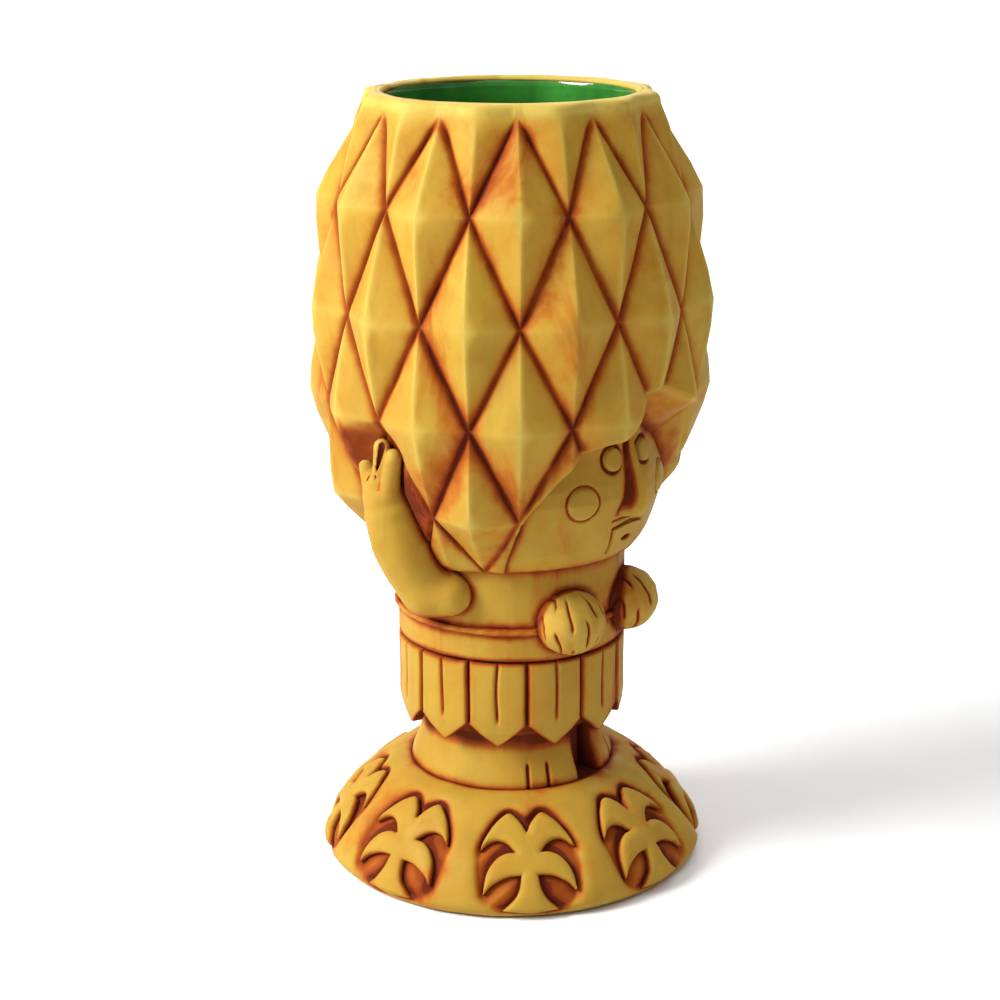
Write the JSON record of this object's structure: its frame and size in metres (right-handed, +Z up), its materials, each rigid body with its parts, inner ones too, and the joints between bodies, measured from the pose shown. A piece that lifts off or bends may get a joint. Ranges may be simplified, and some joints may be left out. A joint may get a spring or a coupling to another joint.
{
  "type": "tiki mug",
  "caption": "Tall ceramic goblet mug: a carved figure whose pineapple hair is the cup, on a domed palm-tree foot, green glazed inside.",
  "frame": {"origin": "middle of the foot, on the surface the mug stands on", "axes": "+Z up along the mug's axis, the figure faces -Y, +X is the figure's left"},
  "size_m": [0.11, 0.11, 0.21],
  "materials": {
    "stained_clay": "matte yellow with a rust-brown wash wiped into the grooves",
    "green_glaze": "glossy green glaze"
  },
  "bodies": {
    "root": {"cup_vessel": "stained_clay", "pineapple_hair": "stained_clay", "face_panel": "stained_clay", "left_eye": "stained_clay", "right_eye": "stained_clay", "left_cheek": "stained_clay", "right_cheek": "stained_clay", "nose": "stained_clay", "mouth_plate": "stained_clay", "left_arm": "stained_clay", "right_arm": "stained_clay", "left_coconut": "stained_clay", "right_coconut": "stained_clay", "chest_string": "stained_clay", "skirt_blade_01": "stained_clay", "skirt_blade_02": "stained_clay", "skirt_blade_03": "stained_clay", "skirt_blade_04": "stained_clay", "skirt_blade_05": "stained_clay", "skirt_blade_06": "stained_clay", "skirt_blade_07": "stained_clay", "skirt_blade_08": "stained_clay", "skirt_blade_09": "stained_clay", "skirt_blade_10": "stained_clay", "skirt_blade_11": "stained_clay", "skirt_blade_12": "stained_clay", "left_leg": "stained_clay", "right_leg": "stained_clay", "base_dome": "stained_clay", "palm_tree_1": "stained_clay", "palm_tree_2": "stained_clay", "palm_tree_3": "stained_clay", "palm_tree_4": "stained_clay", "palm_tree_5": "stained_clay", "palm_tree_6": "stained_clay", "palm_tree_7": "stained_clay", "palm_tree_8": "stained_clay", "glaze_lining": "green_glaze"}
  },
  "joints": []
}
